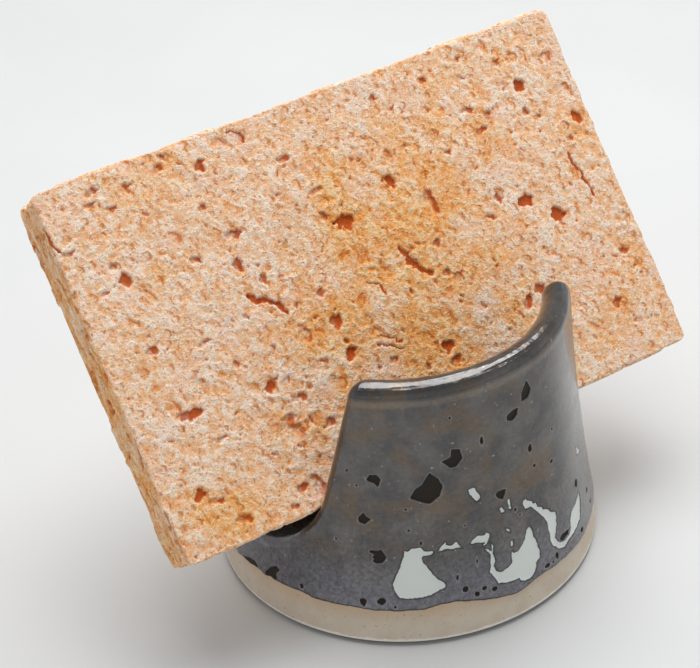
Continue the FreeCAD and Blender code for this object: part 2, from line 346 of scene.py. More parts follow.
def on_quarter(points, flare):
    """The nearest points of one quarter of the core, where x and y aren't negative."""
    radius = np.hypot(points[:, 0], points[:, 1])
    section = nearest_on_section(np.stack((radius, points[:, 2]), axis=1))
    scale = section[:, 0] / np.maximum(radius, NEARLY_ZERO)
    turned = np.stack((points[:, 0] * scale, points[:, 1] * scale, section[:, 1]), axis=1)
    cut = turned[:, 1] < slot_reach(turned[:, 2], flare) - SLACK
    cut &= turned[:, 2] > SLOT_CENTRE - CORE_SLOT
    slot = nearest_on_slot(points[:, 1:], flare)
    sided = np.stack((points[:, 0], slot[:, 0], slot[:, 1]), axis=1)
    reach = np.hypot(sided[:, 0], sided[:, 1])
    top = LIP_ARC[0][1] + LIP_ARC[1]
    clay = (reach < outer_radius(sided[:, 2])) & (reach > inner_radius(sided[:, 2])) & (sided[:, 2] < top)
    best = np.where(clay[:, None], sided, turned)
    both = clay & ~cut
    nearer = lengths(turned - points) < lengths(sided - points)
    best[both & nearer] = turned[both & nearer]
    edged = np.flatnonzero(cut & ~clay)
    best[edged] = nearest_on_edge(points[edged], flare)
    return best


def on_core(points):
    """The nearest points of the core, and the outward directions from them."""
    folded = np.abs(points)
    folded[:, 2] = points[:, 2]
    best = np.empty_like(points)
    long_horn = (points[:, 0] > 0) & (points[:, 1] < 0)
    for quarter, flare in ((long_horn, LONG_HORN_FLARE), (~long_horn, SLOT_FLARE)):
        best[quarter] = on_quarter(folded[quarter], flare)
    best[:, :2] *= np.where(points[:, :2] < 0, -1, 1)
    return best, units(points - best)


# Marks on the outer wall, as azimuth in degrees (0 at the front, + to the right) and height in millimetres
GLAZE_LINE = (
    (-180, 7.0), (-150, 6.6), (-120, 7.2), (-94, 6.5), (-87, 6.8), (-81, 7.3), (-75, 7.7), (-66, 7.8),
    (-58, 7.6), (-50, 7.5), (-40, 7.4), (-28, 7.4), (-23, 8.0), (-18, 8.2), (-12, 7.2), (-6, 6.4),
    (0, 5.8), (4, 5.9), (10, 6.5), (18, 6.3), (27, 5.8), (35, 5.8), (44, 5.9), (70, 6.8), (100, 6.3),
    (140, 7.3), (180, 7.0),
)
WHITE_PATCHES = (
    ((-31.6, 19.9), (-30.6, 20.4), (-27.9, 20.5), (-26.9, 19.7), (-24.3, 19.5), (-24.1, 19.1),
     (-25.4, 18.8), (-27.5, 18.8), (-28.0, 18.2), (-27.1, 17.1), (-25.5, 15.6), (-24.7, 14.7),
     (-22.9, 13.3), (-21.7, 12.8), (-21.2, 12.2), (-21.6, 11.7), (-23.9, 11.2), (-25.8, 10.6),
     (-28.1, 10.3), (-31.4, 10.2), (-34.7, 10.4), (-35.6, 11.2), (-36.3, 12.1), (-36.4, 13.2),
     (-35.7, 14.8), (-34.9, 15.8), (-33.7, 17.4), (-33.0, 18.9), (-32.9, 20.0)),
    ((-22.7, 19.3), (-22.1, 19.9), (-20.4, 20.9), (-20.1, 20.3), (-18.4, 19.9), (-17.1, 20.6),
     (-16.0, 19.5), (-15.3, 19.0), (-17.3, 19.4), (-18.8, 19.4), (-21.1, 19.5)),
    ((-12.9, 19.5), (-11.9, 20.1), (-10.2, 20.6), (-7.9, 20.3), (-7.2, 20.7), (-6.4, 20.2), (-6.8, 19.2),
     (-7.6, 18.4), (-8.5, 18.1), (-8.8, 18.5), (-8.0, 18.8), (-10.8, 19.4), (-12.2, 19.4)),
    ((-8.3, 17.6), (-6.9, 17.0), (-6.3, 16.6), (-5.9, 17.6), (-6.5, 18.5), (-6.1, 18.5), (-5.5, 17.5),
     (-5.9, 16.2), (-5.4, 14.4), (-6.0, 13.6), (-6.7, 15.1), (-6.8, 16.2)),
    ((-7.4, 12.6), (-6.9, 13.5), (-6.7, 15.1), (-6.2, 15.2), (-5.4, 14.4), (-6.0, 13.5), (-5.4, 12.3),
     (-4.0, 11.6), (-2.7, 11.7), (-1.3, 11.9), (0.5, 12.8), (0.4, 13.9), (0.7, 15.0), (1.3, 14.3),
     (2.9, 14.2), (4.6, 15.1), (6.0, 16.0), (6.9, 17.6), (8.0, 17.9), (9.0, 16.7), (9.0, 15.6),
     (9.9, 14.5), (10.3, 13.0), (10.8, 12.0), (10.7, 10.6), (9.2, 10.0), (8.0, 8.5), (6.3, 7.6),
     (4.1, 7.6), (2.5, 8.1), (2.2, 8.9), (0.4, 8.9), (-1.8, 9.0), (-5.0, 9.6), (-6.0, 11.0)),
    ((6.5, 23.8), (7.7, 23.8), (8.4, 23.2), (9.9, 22.7), (10.6, 22.0), (11.7, 21.8), (12.3, 20.7),
     (13.9, 20.2), (14.6, 19.3), (16.6, 18.7), (17.6, 17.8), (19.7, 16.9), (20.0, 15.8), (19.6, 14.3),
     (18.9, 12.9), (18.0, 12.1), (19.2, 10.7), (20.6, 10.0), (22.6, 9.5), (25.4, 9.7), (27.1, 10.7),
     (27.0, 12.2), (28.5, 13.5), (31.7, 13.8), (34.4, 14.6), (35.5, 15.3), (35.6, 13.3), (34.0, 10.5),
     (32.7, 9.7), (30.1, 9.4), (28.1, 9.1), (25.0, 9.0), (21.8, 8.5), (19.6, 9.2), (16.9, 10.6),
     (16.3, 11.7), (16.2, 13.3), (15.8, 14.9), (15.6, 16.6), (14.5, 17.8), (13.0, 19.0), (11.1, 20.5),
     (9.2, 21.8), (7.3, 21.9), (6.7, 22.8)),
    ((-11.9, 30.4), (-10.2, 30.6), (-9.4, 29.7), (-8.5, 28.7), (-8.4, 27.9), (-9.7, 27.7), (-10.8, 28.6),
     (-11.6, 29.5)),
    ((1.0, 25.6), (1.6, 25.6), (1.7, 24.2), (1.9, 23.5), (1.0, 23.6), (1.1, 24.6)),
    ((-2.4, 24.6), (-1.3, 24.6), (-0.5, 23.6), (-1.5, 23.6)),
    ((-0.7, 20.0), (0.4, 19.5), (0.8, 19.0), (-0.1, 19.4)),
    ((0.5, 17.0), (1.3, 17.0), (1.1, 15.8), (0.5, 16.0)),
    ((38.7, 23.8), (42.4, 21.2), (38.7, 22.0)),
)
PIT_PATCHES = (
    ((-30.3, 30.7), (-28.6, 32.4), (-26.4, 33.2), (-23.9, 35.5), (-21.2, 34.0), (-20.0, 32.3),
     (-21.0, 30.6), (-22.8, 29.8), (-24.3, 29.2), (-27.5, 29.9)),
    ((-20.0, 37.3), (-17.0, 37.9), (-16.7, 39.4), (-13.8, 39.1), (-13.2, 37.1), (-15.4, 35.8),
     (-17.0, 35.7)),
    ((-43.2, 34.5), (-42.3, 35.5), (-39.9, 35.5), (-38.7, 34.6), (-39.7, 33.1), (-41.0, 33.8),
     (-42.8, 34.2)),
    ((-46.4, 26.5), (-44.6, 27.7), (-43.8, 26.9), (-42.3, 26.4), (-44.3, 25.3), (-46.1, 25.6)),
    ((-43.3, 19.9), (-42.3, 20.1), (-41.0, 19.9), (-39.6, 20.3), (-38.2, 18.7), (-39.4, 17.5),
     (-41.3, 17.4), (-42.6, 17.8), (-41.6, 18.2), (-42.4, 18.5), (-41.6, 19.2), (-43.1, 19.5)),
    ((12.1, 47.4), (13.9, 45.1), (12.5, 43.7), (9.5, 43.6), (9.5, 45.3)),
    ((7.8, 42.9), (7.3, 41.5), (5.1, 40.9), (3.2, 41.4), (3.0, 42.3), (5.4, 43.0)),
    ((-3.3, 27.6), (-2.1, 28.2), (0.8, 27.9), (-0.6, 26.1), (-2.3, 26.7)),
    ((-94.3, 6.6), (-87.8, 8.4), (-84.7, 8.8), (-82.8, 7.9), (-80.5, 7.5), (-80.4, 6.6), (-87.5, 6.0)),
    ((-79.9, 8.0), (-77.8, 9.7), (-75.1, 10.9), (-73.5, 10.4), (-75.0, 9.3), (-74.5, 8.3), (-77.9, 7.3)),
    ((-46.6, 9.7), (-45.6, 9.9), (-44.5, 9.7), (-44.6, 9.0), (-45.3, 8.2), (-46.4, 8.8)),
    ((-41.5, 9.6), (-40.5, 10.2), (-39.2, 10.2), (-38.7, 9.5), (-40.0, 8.8), (-41.3, 9.1)),
    ((20.2, 10.7), (21.2, 11.4), (25.6, 11.0), (24.8, 10.2), (21.3, 10.0)),
)
# Small pits, then pits and white dabs on the unseen back: azimuth, height, half width and half height
PITS = (
    (-65.3, 9.3, 0.40, 0.54), (-6.5, 39.5, 0.36, 0.76), (11.5, 33.4, 0.49, 0.82), (21.0, 27.5, 0.49, 0.31),
    (12.7, 29.4, 0.36, 0.38), (-16.5, 45.8, 0.25, 0.28), (23.0, 33.7, 0.32, 0.25),
    (34.4, 17.4, 0.57, 0.78), (33.3, 7.4, 0.64, 0.49), (17.9, 8.2, 0.43, 0.73), (13.1, 7.8, 0.68, 0.37),
    (15.8, 7.6, 0.24, 0.25), (-15.4, 10.5, 0.55, 0.60), (-12.0, 8.9, 0.46, 0.46), (-9.6, 9.6, 0.45, 0.42),
    (-6.4, 8.8, 0.54, 0.45), (-31.7, 28.5, 0.27, 0.2), (-31.2, 24.1, 0.27, 0.24),
    (-13.9, 23.5, 0.23, 0.23), (3.4, 22.9, 0.25, 0.38), (5.0, 21.4, 0.31, 0.28), (-17.5, 13.2, 0.2, 0.47),
    (-11.1, 15.5, 0.18, 0.58), (-27.7, 21.4, 0.2, 0.32), (-53.6, 21.4, 0.2, 0.29),
    (-46.4, 33.1, 0.2, 0.24), (-49.3, 35.9, 0.24, 0.2), (43.1, 11.9, 0.59, 0.45), (45.5, 8.4, 0.67, 0.31),
    (-36.2, 8.5, 0.27, 0.26),
)
BACK_PITS = (
    (95, 30, 1.6, 1.4), (118, 12, 1.4, 1.1), (134, 38, 1.3, 1.8), (152, 21, 2.2, 1.9), (163, 34, 0.9, 1.0),
    (178, 14, 1.2, 1.0), (-168, 27, 1.1, 1.3), (-150, 36, 1.8, 1.6), (-141, 16, 1.3, 1.2),
    (-118, 11, 1.0, 0.9),
)
BACK_DABS = (
    (125, 17, 2.4, 3.2), (131, 13, 1.2, 2.0), (158, 12, 3.0, 1.6), (-172, 19, 1.0, 2.6),
    (-133, 11, 2.2, 1.4),
)
MEAN_RADIUS = 34.0
WALL_SCALE = math.radians(1) * MEAN_RADIUS
WELL_AWAY = -3.0
WELL_INSIDE = 5.0
GLAZED_RANGE = (-8, 20)

# How far the edges of the patches stray, with the shares that the back's dabs and the pits take of it
STRAY = 0.35
DAB_STRAY = 3
PIT_STRAY = 0.4
LINE_STRAY = 0.7


def patch_depth(places, outline):
    """How far places lie inside a closed outline, negative outside."""
    corners = np.array(outline) * np.array((WALL_SCALE, 1.0))
    depth = np.full(len(places), WELL_AWAY)
    low, high = corners.min(axis=0) + WELL_AWAY, corners.max(axis=0) - WELL_AWAY
    close = np.flatnonzero(np.all((places > low) & (places < high), axis=1))
    near = places[close]
    nearest = np.full(len(near), FAR)
    inside = np.zeros(len(near), bool)
    for start, end in zip(corners, np.roll(corners, -1, axis=0)):
        found = nearest_on_line(near, start, end)
        nearest = np.minimum(nearest, lengths(found - near))
        crosses = (start[1] > near[:, 1]) != (end[1] > near[:, 1])
        slope = (end[0] - start[0]) / np.where(end[1] == start[1], NEARLY_ZERO, end[1] - start[1])
        inside ^= crosses & (near[:, 0] < start[0] + slope * (near[:, 1] - start[1]))
    depth[close] = np.where(inside, nearest, -nearest)
    return depth


def blob_depth(places, spots):
    """How far places lie inside the nearest of some oval spots, negative outside."""
    depth = np.full(len(places), WELL_AWAY)
    for azimuth, height, wide, high in spots:
        away = places - np.array((azimuth * WALL_SCALE, height))
        depth = np.maximum(depth, (1 - np.hypot(away[:, 0] / wide, away[:, 1] / high)) * min(wide, high))
    return depth


def wall_marks(points, outward):
    """How far points lie inside the crawled patches, the pits and the glazed part, negative outside."""
    azimuth = np.degrees(np.arctan2(points[:, 0], -points[:, 1]))
    places = np.stack((azimuth * WALL_SCALE, points[:, 2]), axis=1)
    ragged = (fractal(points, 0.9, 31) - 0.5) * STRAY
    white = blob_depth(places, BACK_DABS) + ragged * DAB_STRAY
    for patch in WHITE_PATCHES:
        white = np.maximum(white, patch_depth(places, patch) + ragged)
    pit = blob_depth(places, PITS + BACK_PITS) + ragged * PIT_STRAY
    for patch in PIT_PATCHES:
        pit = np.maximum(pit, patch_depth(places, patch) + ragged * PIT_STRAY)
    radial = np.sum(outward[:, :2] * points[:, :2], axis=1) / np.hypot(points[:, 0], points[:, 1])
    outside = smooth(0.55, 0.85, radial)
    white, pit = (np.clip(depth * outside + WELL_AWAY * (1 - outside), WELL_AWAY, WELL_INSIDE)
                  for depth in (white, pit))
    line = np.interp(azimuth, *np.array(GLAZE_LINE).T) + (fractal(points, 3.0, 37) - 0.5) * LINE_STRAY
    inside_cup = (radial < 0.2) & (points[:, 2] > BASE_THICKNESS - 1)
    glazed = np.where(inside_cup, GLAZED_RANGE[1], points[:, 2] - line)
    return white, pit, np.clip(glazed, *GLAZED_RANGE)


# Creases along the lip: how far over its crest in degrees, and the seed of their breaks
LIP_CREASES = ((58, 57), (74, 58), (96, 59))

# The coat's changes in thickness at its marks, in millimetres
WHITE_ROLL = 0.05
WHITE_DIP = 0.20
PIT_ROLL = 0.04
PIT_DIP = 0.28
LINE_ROLL = 0.08
ROLLED_EDGE = 0.5
UNDER_CLAY = -0.25


def lip_relief(points, outward):
    """The uneven crest of the lip: thin creases and small lumps, in millimetres."""
    turn = np.arctan2(points[:, 0], -points[:, 1])
    radial = outward[:, 0] * np.sin(turn) - outward[:, 1] * np.cos(turn)
    around = outward[:, 0] * np.cos(turn) + outward[:, 1] * np.sin(turn)
    rise = np.degrees(np.arctan2(outward[:, 2], radial))
    on_lip = smooth(RIM_HEIGHT - 4, RIM_HEIGHT - 1.5, points[:, 2]) * smooth(0.5, 0.2, np.abs(around))
    wander = 12 * (noise(points, 9.0, 51) - 0.5)
    creases = sum(np.exp(-((rise - angle - wander) / 3.5) ** 2) * smooth(0.35, 0.6, noise(points, 5.0, seed))
                  for angle, seed in LIP_CREASES)
    lumps = noise(points, 1.3, 53) + 0.6 * noise(points, 0.7, 55) - 0.8
    return on_lip * (0.06 * lumps * smooth(10, 50, rise) - 0.09 * creases)


def glaze_thickness(points, outward, white, pit, glazed):
    """The coat's thickness over the clay; it dips under the clay below the glaze line."""
    coat = GLAZE_COAT + 0.05 * (fractal(points, 9.0, 41) - 0.5) + 0.012 * (noise(points, 2.6, 45) - 0.5)
    coat = coat + lip_relief(points, outward)
    coat = coat + WHITE_ROLL * smooth(-0.7, -0.1, white) * smooth(0.1, -0.1, white)
    coat = coat - WHITE_DIP * smooth(-0.12, 0.2, white)
    coat = coat + PIT_ROLL * smooth(-0.6, -0.1, pit) * smooth(0.1, -0.1, pit)
    coat = coat - PIT_DIP * smooth(-0.12, 0.22, pit)
    coat = coat + LINE_ROLL * smooth(2.2, 0.6, glazed)
    rolled = np.sqrt(np.clip(1 - (1 - np.clip(glazed, 0, ROLLED_EDGE) / ROLLED_EDGE) ** 2, 0, 1))
    return np.where(glazed > 0, coat * rolled + UNDER_CLAY * (1 - rolled), UNDER_CLAY)


def glaze_skin():
    """A closed fine mesh of the glazed form, that follows the clay and sinks into it below the glaze line."""
    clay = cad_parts["stoneware_body"]
    rough = bpy.data.objects.new("rough_form", clay.data.copy())
    bpy.context.scene.collection.objects.link(rough)
    remesh = rough.modifiers.new("even_faces", "REMESH")
    remesh.mode = "VOXEL"
    remesh.voxel_size = SKIN_GRID * MM
    rough.update_tag()
    bpy.context.view_layer.update()
    even = bpy.data.meshes.new_from_object(rough.evaluated_get(bpy.context.evaluated_depsgraph_get()))
    bpy.data.objects.remove(rough)
    points = np.empty(len(even.vertices) * 3, np.float32)
    even.vertices.foreach_get("co", points)
    points = points.reshape(-1, 3).astype(float) / MM
    faces = np.empty(len(even.loops), np.int32)
    even.loops.foreach_get("vertex_index", faces)
    core, outward = on_core(points)
    white, pit, glazed = wall_marks(core + outward * EDGE_ROUND, outward)
    thickness = glaze_thickness(points, outward, white, pit, glazed)
    placed = core + outward * (EDGE_ROUND + thickness)[:, None]
    skin = new_object("gunmetal_glaze_skin", placed, faces.reshape(-1, 4))
    set_values(skin, white=white, pit=pit, glazed=glazed)
    return skin


# The sponge

def rounded_block(size, spacing, corner, edge):
    """An even closed grid over a block with rounded corners and edges: points, outward directions, faces."""
    half = size / 2
    counts = np.round(size / spacing).astype(int)
    steps = np.stack(np.meshgrid(*(np.arange(count + 1) for count in counts), indexing="ij"), axis=-1)
    shell = np.any((steps == 0) | (steps == counts), axis=-1)
    index = np.full(shell.shape, -1)
    index[shell] = np.arange(shell.sum())
    points = steps[shell] / counts * size - half

    faces = []
    for axis in range(3):
        for last in (False, True):
            layer = np.take(index, -1 if last else 0, axis=axis)
            quads = np.stack((layer[:-1, :-1], layer[1:, :-1], layer[1:, 1:], layer[:-1, 1:]), axis=-1)
            quads = quads.reshape(-1, 4)
            faces.append(quads if last != (axis == 1) else quads[:, ::-1])
    faces = np.concatenate(faces)

    flat, sign = np.abs(points[:, :2]), np.where(points[:, :2] < 0, -1, 1)
    over = np.maximum(flat - (half[:2] - corner), 0)
    cornered = np.all(over > 0, axis=1)
    length = np.maximum(np.hypot(*over.T), NEARLY_ZERO)
    over[cornered] *= (over.max(axis=1) / length)[cornered, None]
    flat = np.where(over > 0, half[:2] - corner + over, flat)
    length = np.hypot(*over.T)
    outline = over / np.maximum(length, NEARLY_ZERO)[:, None]
    past = np.maximum(length - (corner - edge), 0)
    level = np.clip(points[:, 2], edge - half[2], half[2] - edge)
    raised = points[:, 2] - level
    reach = np.maximum(np.hypot(past, raised), NEARLY_ZERO)
    flat = flat + outline * (past * (edge / reach - 1))[:, None]
    outward = np.concatenate((outline * sign * (past / reach)[:, None], (raised / reach)[:, None]), axis=1)
    placed = np.concatenate((flat * sign, (level + raised * edge / reach)[:, None]), axis=1)
    return placed, outward, faces


# Pores of the sponge's front: place along and up the face, and half sizes, in millimetres
PORES = (
    (-8.2, 24.8, 1.2, 0.7), (9.5, 14.6, 1.4, 1.4), (-5.4, 13.2, 0.8, 0.9), (13.1, 0.9, 0.7, 0.7),
    (6.1, 2.1, 0.5, 0.5), (12.8, -5.1, 1.0, 0.8), (-21.1, 6.4, 1.2, 0.8), (-12.0, 0.1, 0.8, 0.6),
    (-11.0, -9.6, 0.9, 0.7), (1.7, -19.4, 0.8, 0.8), (7.5, -20.6, 1.5, 0.8), (-11.1, -12.3, 1.2, 1.2),
    (-1.1, 13.6, 0.5, 0.5), (-45.2, 1.7, 1.6, 0.8), (-43.3, -10.6, 2.2, 1.0), (-39.9, -16.5, 1.2, 0.6),
    (-27.8, -11.6, 1.4, 1.0), (-20.3, -21.7, 1.2, 0.8), (-47.4, -23.8, 1.1, 1.1), (-45.4, -25.9, 1.0, 0.6),
    (-41.7, -30.5, 1.8, 0.8), (-32.1, -32.3, 1.2, 0.8), (-29.8, 32.8, 0.6, 0.8), (-23.4, 29.2, 1.0, 1.0),
    (-31.3, 30.8, 0.7, 0.7), (-26.4, 21.8, 1.0, 0.8), (-44.8, 15.2, 1.0, 1.5), (-48.7, 14.1, 0.9, 0.4),
    (-45.9, 18.2, 0.6, 0.6), (-23.0, 15.6, 1.4, 0.8), (-30.9, 13.7, 1.2, 0.8), (-24.3, 10.0, 0.9, 1.4),
    (-51.9, 22.9, 1.0, 0.5), (-36.1, 0.0, 1.2, 0.5), (51.5, 12.9, 1.0, 1.4), (32.6, 30.9, 0.8, 0.5),
    (40.0, 27.8, 0.8, 0.6), (31.7, 27.3, 0.8, 0.5), (30.3, 21.4, 1.4, 0.6), (34.1, 18.9, 0.9, 0.8),
    (43.7, 15.8, 1.0, 0.6), (31.6, 16.7, 1.2, 0.8), (48.3, 9.3, 0.6, 0.6), (22.8, 15.5, 1.0, 0.8),
    (28.7, 3.9, 0.8, 1.0), (34.0, 1.4, 1.4, 1.2), (25.6, 1.2, 1.2, 0.5), (49.5, -14.0, 1.2, 0.8),
    (-5.0, 17.6, 1.8, 0.6), (-43.9, 31.0, 1.4, 0.7), (-37.6, 29.8, 0.8, 0.6), (-45.2, 29.0, 1.6, 0.5),
    (-41.8, 27.4, 1.4, 0.5), (24.2, 29.4, 0.9, 0.8), (13.1, 29.5, 0.7, 0.8), (15.5, 26.7, 0.8, 0.3),
    (22.5, 24.1, 0.6, 0.4), (41.6, 17.2, 0.8, 0.8), (19.4, 16.3, 0.4, 0.5), (15.2, 19.2, 0.5, 0.5),
    (5.0, 19.7, 0.5, 0.4), (7.9, 19.1, 0.3, 0.3), (22.7, -7.5, 0.4, 0.4), (50.3, -17.6, 0.6, 0.5),
    (29.0, -14.7, 1.1, 0.9), (25.9, -16.1, 0.9, 1.3), (43.3, -22.8, 1.0, 0.9), (17.2, -13.6, 0.6, 0.4),
    (4.9, -5.9, 0.4, 0.4), (45.6, -27.8, 0.6, 0.3), (-14.8, -3.7, 0.6, 0.4), (-26.5, -11.0, 0.8, 0.5),
    (-27.1, -18.0, 1.2, 0.7), (-30.0, -29.8, 1.0, 0.9), (-41.3, -31.2, 1.4, 0.5), (-24.4, -5.7, 0.5, 0.7),
    (-7.3, -16.1, 0.6, 0.5), (-3.8, -15.9, 0.7, 0.6), (-0.1, -11.9, 0.5, 0.8), (-17.5, -0.1, 0.6, 0.6),
    (-27.0, 1.6, 0.5, 0.7), (-32.1, -5.5, 0.6, 0.6), (-24.5, -12.1, 0.5, 1.0), (-24.1, -15.5, 1.6, 0.4),
    (-23.4, -19.8, 0.6, 0.6), (-27.5, -23.3, 0.4, 0.4), (0.7, -24.2, 0.6, 0.4), (4.7, -6.8, 0.4, 0.3),
    (14.0, -10.4, 0.5, 0.4), (-2.0, 10.4, 2.2, 1.5), (-11.2, -5.4, 1.0, 1.5), (7.3, -17.7, 1.5, 1.1),
    (42.6, 22.0, 1.3, 1.4), (39.2, -3.2, 1.4, 1.6),
)
# Wider dips, that are deepest towards their right, with how marked each one is
CRATERS = (
    (14.8, 7.7, 2.2, 2.5, 0.9), (-18.2, -5.6, 1.5, 2.0, 0.8), (-40.1, -7.0, 2.6, 1.8, 0.35),
    (-27.7, -20.6, 2.9, 2.2, 0.7), (-27.8, -30.4, 2.0, 2.2, 0.8), (49.1, 25.6, 2.9, 1.2, 0.7),
    (50.7, 18.9, 2.5, 1.2, 0.5), (38.4, 23.4, 2.0, 1.0, 0.5), (-16.0, 31.2, 2.7, 1.5, 0.5),
    (10.6, 18.2, 1.2, 1.2, 0.5), (14.6, -6.8, 1.2, 1.1, 0.8), (22.8, -17.9, 1.2, 0.9, 0.7),
    (-31.0, -18.6, 1.4, 0.8, 0.6), (-23.6, -20.7, 1.4, 0.8, 0.6), (4.4, -16.4, 1.0, 0.9, 0.8),
    (-27.8, -7.2, 0.9, 0.6, 0.5), (-32.4, -17.3, 2.6, 3.1, 0.25), (-27.9, 26.4, 3.6, 3.1, 0.25),
    (38.1, 6.5, 2.6, 2.2, 0.2), (-8.0, 4.0, 1.6, 1.2, 0.3),
)
# Cracks: half widths and the points that they follow
CRACKS = (
    (0.45, ((6.0, 2.3), (6.6, 0.8), (6.7, -0.9), (7.8, -2.7), (9.7, -4.2))),
    (0.50, ((-24.8, 4.4), (-24.1, 3.4), (-21.9, 2.7), (-20.4, 1.2), (-19.3, -0.4))),
    (0.30, ((46.4, 7.0), (46.6, 4.5), (47.3, 2.6), (48.1, 0.0), (47.9, -2.0))),
    (0.22, ((-3.2, -1.1), (-0.7, -2.2), (0.0, -4.3))),
    (0.18, ((-4.9, -11.0), (-2.7, -11.8), (-1.2, -13.2))),
    (0.22, ((-5.2, -12.4), (-3.0, -13.7), (-1.5, -14.7))),
    (0.25, ((-16.3, 32.7), (-14.1, 32.3), (-13.8, 30.1))),
    (0.30, ((-55.0, 28.3), (-54.6, 25.3), (-53.2, 23.4))),
)
# Warm worn areas of the sponge's front: place, reach and strength
WARM = (
    (10, 4, 17, 1.0), (-12, -9, 10, 0.9), (4, -17, 13, 1.0), (-44, -29, 9, 0.8), (30, 22, 11, 0.5),
    (-34, 28, 12, 0.45), (0, 14, 12, 0.6), (48, 8, 8, 0.5), (-27, -20, 7, 0.5), (24, -14, 10, 0.5),
    (44, -22, 9, 0.45),
)
# How the cells are drawn out on the faces, the ends and the long edges, and the side where their rims take
# painted shade
FACE_GRAIN = math.sqrt(0.3) * np.array((0.68, -0.73, 0.0))
END_GRAIN = math.sqrt(0.62) * np.array((0.0, 1.0, 0.0))
EDGE_GRAIN = math.sqrt(0.62) * np.array((1.0, 0.0, 0.0))
SHADED_RIM_SIDE = np.array((0.97, 0.24))
SPONGE_UP = (0.0, math.sin(SPONGE_LEAN), math.cos(SPONGE_LEAN))
SHADED_ARC_SIDE = (SHADED_RIM_SIDE[0], SHADED_RIM_SIDE[1] * SPONGE_UP[1], SHADED_RIM_SIDE[1] * SPONGE_UP[2])

# Spacing of the sponge's cells and small holes
LARGE_CELL = 3.4
SMALL_CELL = 1.45
PINHOLE_SPACING = 1.9
SLIT_SPACING = 2.6
BACK_HOLE_SPACING = 7.5
DEEPEST_HOLE = 3.0

# Two of the rows that sponge_cells gives, and how many half sizes round a hole are looked at
DEEP_ROW = 1
PORE_AND_SHADE_ROW = 3
HOLE_REACH = 1.5


def bent_places(points, long_axis):
    """Places for the sponge's cells, drawn out along an axis and a little bent."""
    places = points - (points @ long_axis)[:, None] * long_axis
    places += jitter(points, 2.4, (3, 5, 7), 1.5)
    places += jitter(points, 0.9, (4, 6, 8), 0.5)
    return places


def raise_to(values, where, least):
    """Raise values to at least the given ones where asked."""
    values[where] = np.maximum(values[where], least)


def add_pores(bent, broken, deep, pore):
    """Sink the pores; the small ones show most at their right, which is partly painted shade."""
    for along, up, wide, high in PORES:
        offset = (bent - np.array((along, up))) / np.array((wide, high))
        away = np.hypot(*offset.T) + 0.8 * (broken - 0.5)
        close = away < HOLE_REACH
        right = units(offset[close]) @ SHADED_RIM_SIDE
        hole = smooth(1.15, 0.8, away[close])
        size = min(wide, high)
        raise_to(deep, close, (0.15 + 0.45 * size) * hole)
        filled = smooth(0.6, 1.3, size)
        shown = filled + (1 - filled) * smooth(-0.6, 0.5, right)
        raise_to(pore, close, hole * (0.4 + 0.6 * shown) * (0.75 + 0.25 * filled))


def add_craters(bent, broken, deep, pore):
    """Sink the wider dips, with a broken dark rim of painted shade at their right."""
    for along, up, wide, high, strength in CRATERS:
        offset = (bent - np.array((along, up))) / np.array((wide, high))
        away = np.hypot(*offset.T)
        close = away < HOLE_REACH
        right = units(offset[close]) @ SHADED_RIM_SIDE
        bowl = smooth(1.1, 0.55, away[close])
        raise_to(deep, close, min(wide, high) * 0.3 * strength * bowl * (0.7 + 0.3 * right))
        rim = smooth(0.35, 0.85, away[close]) * smooth(1.15, 0.95, away[close]) * smooth(-0.2, 0.7, right)
        rim = np.maximum(rim * (0.4 + 1.2 * broken[close]), 0.5 * bowl * smooth(0.5, 0.65, broken[close]))
        raise_to(pore, close, strength * np.minimum(rim, 1))


def add_cracks(bent, broken, deep, pore):
    """Sink the cracks, each along its points."""
    for width, corners in CRACKS:
        away = np.full(len(bent), FAR)
        for start, end in zip(corners[:-1], corners[1:]):
            found = nearest_on_line(bent, np.array(start), np.array(end))
            away = np.minimum(away, lengths(found - bent) / width)
        hole = smooth(1.4, 0.6, away + 1.2 * (broken - 0.5))
        raise_to(deep, slice(None), (0.1 + width) * hole)
        raise_to(pore, slice(None), hole)


def front_holes(points):
    """Depth in millimetres of the pores, dips and cracks on the front, and how much each point shows their
    rust and painted rim shade.
    """
    flat = points * np.array((1, 1, 0))
    bent = points[:, :2] + (jitter(flat, 1.5, (61, 63), 1.1) + jitter(flat, 0.6, (65, 67), 0.55))
    broken = fractal(flat, 0.7, 69, 2)
    deep, pore = np.zeros((2, len(points)))
    for add in (add_pores, add_craters, add_cracks):
        add(bent, broken, deep, pore)
    return deep, pore


